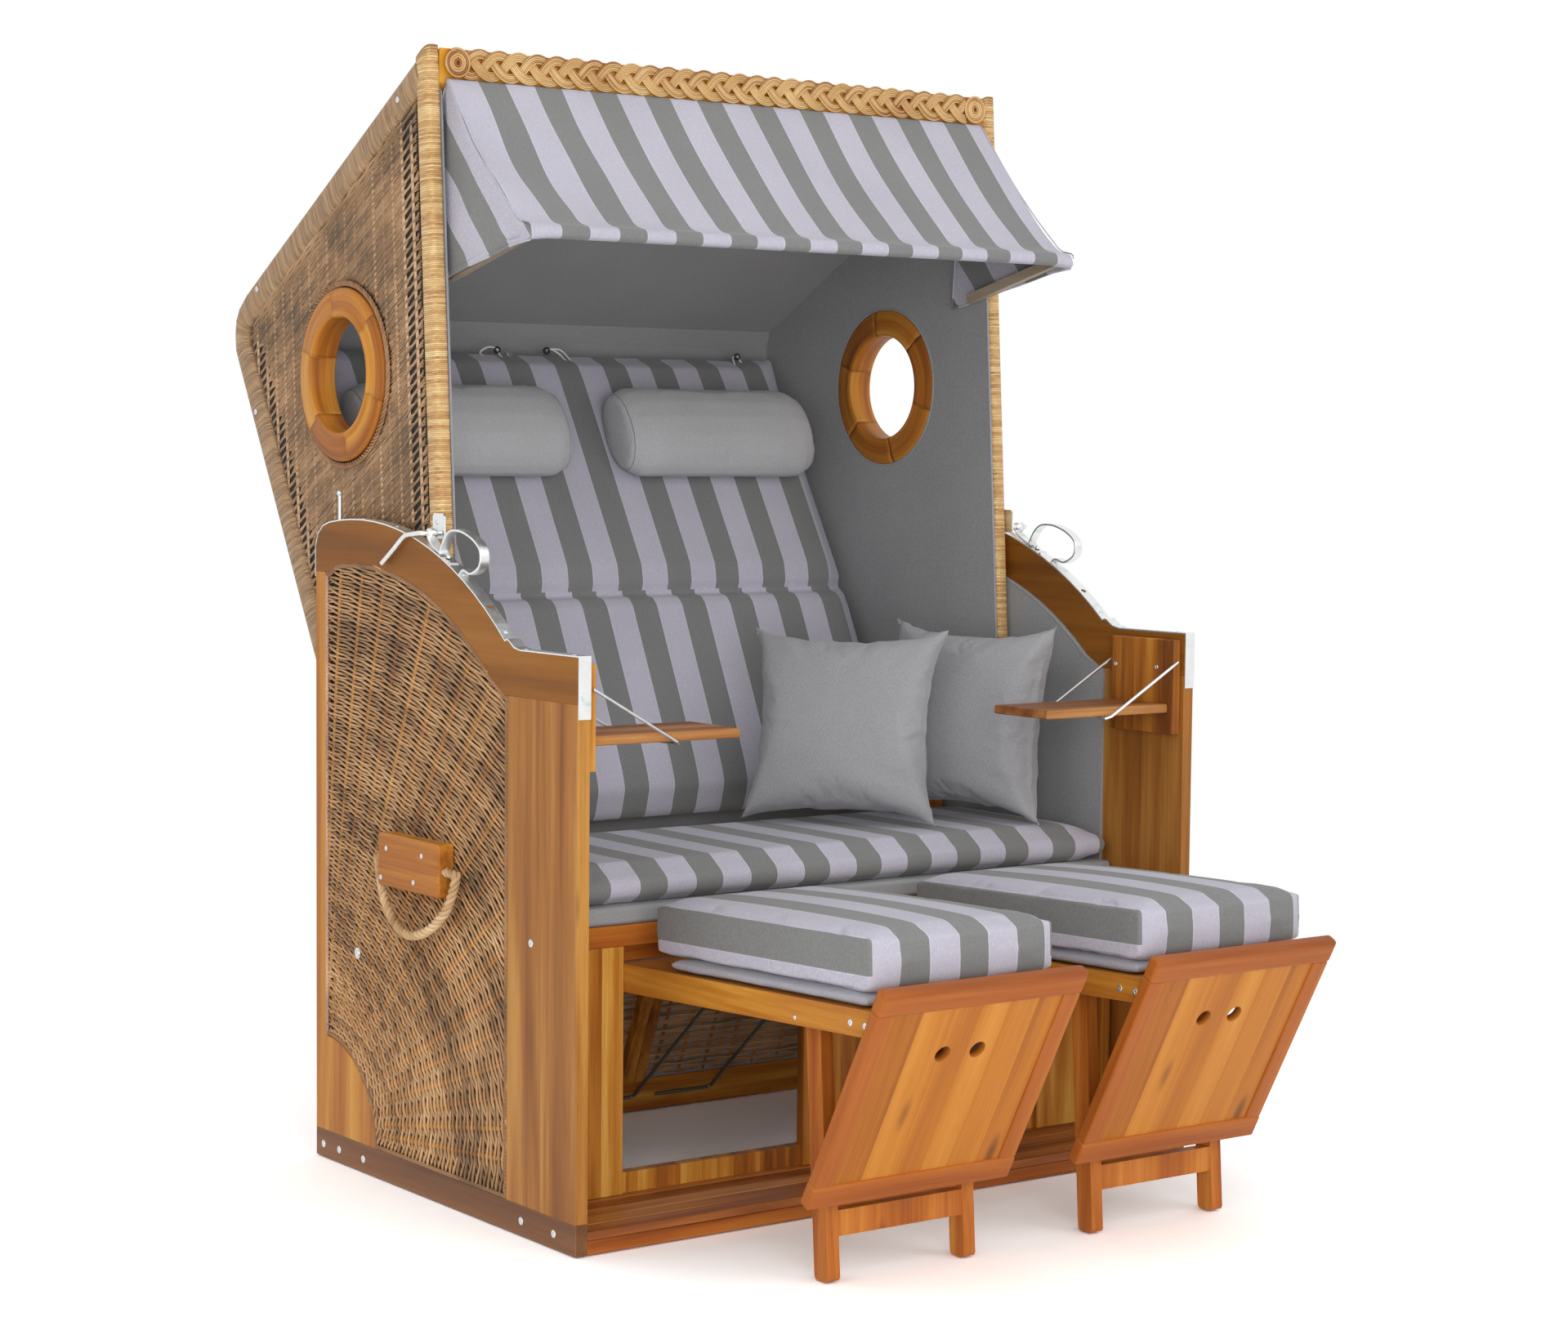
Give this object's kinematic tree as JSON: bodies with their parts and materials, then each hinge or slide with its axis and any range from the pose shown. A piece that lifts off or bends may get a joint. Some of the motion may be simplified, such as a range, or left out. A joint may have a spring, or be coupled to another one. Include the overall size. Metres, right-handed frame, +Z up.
{
  "type": "hooded beach chair",
  "caption": "Roofed wicker beach chair with reclining hood, fabric awning, folding side tables and pull-out footrests",
  "frame": {"origin": "centre of the front plinth beam's underside, on the floor, midway between the sides", "axes": "+X to the sitter's left hand side seen from the front as right, +Y towards the back, +Z up"},
  "size_m": [1.1832, 1.5481, 1.664],
  "materials": {
    "acacia": "golden acacia, oiled, satin",
    "dark_acacia": "darker brown acacia, oiled, satin",
    "wicker": "woven natural wicker, tan brown",
    "cane": "split cane, pale tan, satin",
    "lining": "plain grey lining cloth",
    "striped_cloth": "grey and lilac grey striped woven cloth",
    "grey_cloth": "plain grey woven cloth",
    "pad_cloth": "light lilac grey cloth",
    "zinc": "bright zinc-plated steel, satin",
    "dark_zinc": "dull zinc-plated wire",
    "rope": "twisted beige rope",
    "awning_wood": "pale taupe smooth wood"
  },
  "bodies": {
    "base": {"apron": "acacia", "carry_block_left": "acacia", "carry_block_right": "acacia", "carry_rope_left": "rope", "carry_rope_right": "rope", "deck": "acacia", "front_board_left": "acacia", "front_board_right": "acacia", "front_frame": "acacia", "pillow_left": "grey_cloth", "pillow_right": "grey_cloth", "plinth": "acacia", "rear_frame": "acacia", "rear_rail": "acacia", "rear_wicker": "wicker", "seat_board": "grey_cloth", "seat_brace": "dark_zinc", "seat_cushion": "striped_cloth", "side_frame_left": "acacia", "side_frame_right": "acacia", "side_wicker_left": "wicker", "side_wicker_right": "wicker", "strip_left": "zinc", "strip_right": "zinc", "table_bracket_left": "acacia", "table_bracket_right": "acacia", "top_rail_left": "dark_acacia", "top_rail_right": "dark_acacia"},
    "hood": {"back_cushion": "striped_cloth", "braid": "cane", "headrest_left": "grey_cloth", "headrest_right": "grey_cloth", "hood_frame_left": "cane", "hood_frame_right": "cane", "hood_front_rail": "lining", "hood_shell": "lining", "hood_wicker_left": "wicker", "hood_wicker_right": "wicker", "porthole_ring_left": "acacia", "porthole_ring_right": "acacia"},
    "awning": {"awning_cloth": "striped_cloth", "awning_frame": "awning_wood"},
    "latch_left": {"latch_left": "zinc"},
    "table_left": {"table_leaf_left": "dark_acacia"},
    "stay_left": {"table_stay_left": "zinc"},
    "footrest_left": {"footrest_cushion_left": "striped_cloth", "footrest_frame_left": "acacia", "footrest_pad_left": "pad_cloth", "footrest_panel_left": "acacia"},
    "legs_left": {"footrest_legs_left": "acacia"},
    "stop_pin_left": {"stop_pin_left": "zinc"},
    "latch_right": {"latch_right": "zinc"},
    "table_right": {"table_leaf_right": "dark_acacia"},
    "stay_right": {"table_stay_right": "zinc"},
    "footrest_right": {"footrest_cushion_right": "striped_cloth", "footrest_frame_right": "acacia", "footrest_pad_right": "pad_cloth", "footrest_panel_right": "acacia"},
    "legs_right": {"footrest_legs_right": "acacia"},
    "stop_pin_right": {"stop_pin_right": "zinc"}
  },
  "joints": [
    {"name": "hood_recline", "type": "hinge", "parent": "base", "child": "hood", "pos_m": [0, 0.589, 0.33], "axis": [-1, 0, 0], "range_deg": [-11.6, 23.2]},
    {"name": "awning_fold", "type": "hinge", "parent": "hood", "child": "awning", "pos_m": [0, 0.432, 1.338], "axis": [-1, 0, 0], "range_deg": [0, 70], "deforming": ["awning_cloth"]},
    {"name": "latch_lift_left", "type": "hinge", "parent": "hood", "child": "latch_left", "pos_m": [-0.5505, 0.385, 0.965], "axis": [-1, 0, 0], "range_deg": [0, 40]},
    {"name": "table_fold_left", "type": "hinge", "parent": "base", "child": "table_left", "pos_m": [-0.5259, 0.058, 0.6895], "axis": [0, 1, 0], "range_deg": [0, 90]},
    {"name": "stay_swing_left", "type": "hinge", "parent": "table_left", "child": "stay_left", "pos_m": [-0.391, 0.056, 0.687], "axis": [0, 1, 0], "range_deg": [0, 60]},
    {"name": "footrest_slide_left", "type": "slide", "parent": "base", "child": "footrest_left", "axis": [0, 1, 0], "range_m": [0, 0.04]},
    {"name": "legs_fold_left", "type": "hinge", "parent": "footrest_left", "child": "legs_left", "pos_m": [-0.231, -0.279, 0.35], "axis": [1, 0, 0], "range_deg": [0, 80]},
    {"name": "stop_pin_lift_left", "type": "slide", "parent": "base", "child": "stop_pin_left", "axis": [0, 0, 1], "range_m": [0, 0.018]},
    {"name": "latch_lift_right", "type": "hinge", "parent": "hood", "child": "latch_right", "pos_m": [0.5505, 0.385, 0.965], "axis": [-1, 0, 0], "range_deg": [0, 40]},
    {"name": "table_fold_right", "type": "hinge", "parent": "base", "child": "table_right", "pos_m": [0.5259, 0.058, 0.6895], "axis": [0, -1, 0], "range_deg": [0, 90]},
    {"name": "stay_swing_right", "type": "hinge", "parent": "table_right", "child": "stay_right", "pos_m": [0.391, 0.056, 0.687], "axis": [0, -1, 0], "range_deg": [0, 60]},
    {"name": "footrest_slide_right", "type": "slide", "parent": "base", "child": "footrest_right", "axis": [0, 1, 0], "range_m": [0, 0.04]},
    {"name": "legs_fold_right", "type": "hinge", "parent": "footrest_right", "child": "legs_right", "pos_m": [0.231, -0.279, 0.35], "axis": [1, 0, 0], "range_deg": [0, 80]},
    {"name": "stop_pin_lift_right", "type": "slide", "parent": "base", "child": "stop_pin_right", "axis": [0, 0, 1], "range_m": [0, 0.018]}
  ]
}
